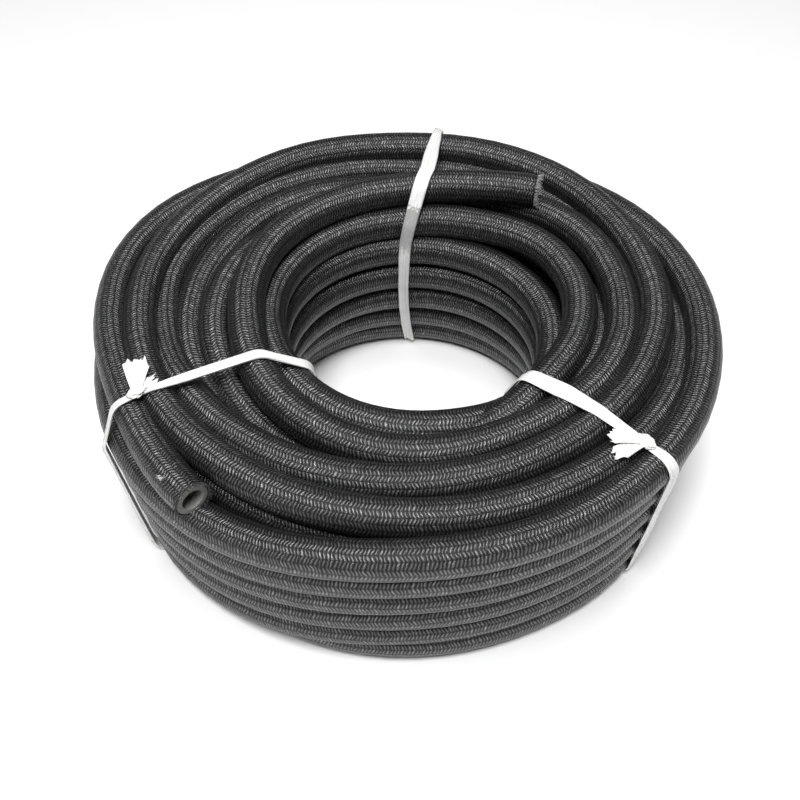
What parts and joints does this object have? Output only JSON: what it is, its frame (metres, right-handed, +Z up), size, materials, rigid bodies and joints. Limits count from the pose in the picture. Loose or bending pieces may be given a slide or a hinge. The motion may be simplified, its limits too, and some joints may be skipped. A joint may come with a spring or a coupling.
{
  "type": "fuel hose coil",
  "caption": "Wound coil of rubber fuel hose with a black textile braid cover, both ends cut square, tied with knotted strips of clear plastic film.",
  "frame": {"origin": "on the floor, under the middle of the part's box, which is within a millimetre of the axis of the coil's outer wall", "axes": "+Z up along the coil's axis, -Y towards the side with the outer cut end, +X to the right of that side"},
  "size_m": [0.2384, 0.2366, 0.0965],
  "materials": {
    "braid_cover": "woven black textile braid with a slight sheen",
    "tube_rubber": "cut grey-black rubber",
    "tie_film": "thin stretched plastic film, drawn into strips"
  },
  "bodies": {
    "root": {"hose_coil": "braid_cover", "rubber_tube_outer_end": "tube_rubber", "rubber_tube_inner_end": "tube_rubber", "film_tie_left": "tie_film", "film_tie_right": "tie_film", "film_tie_back": "tie_film"}
  },
  "joints": []
}
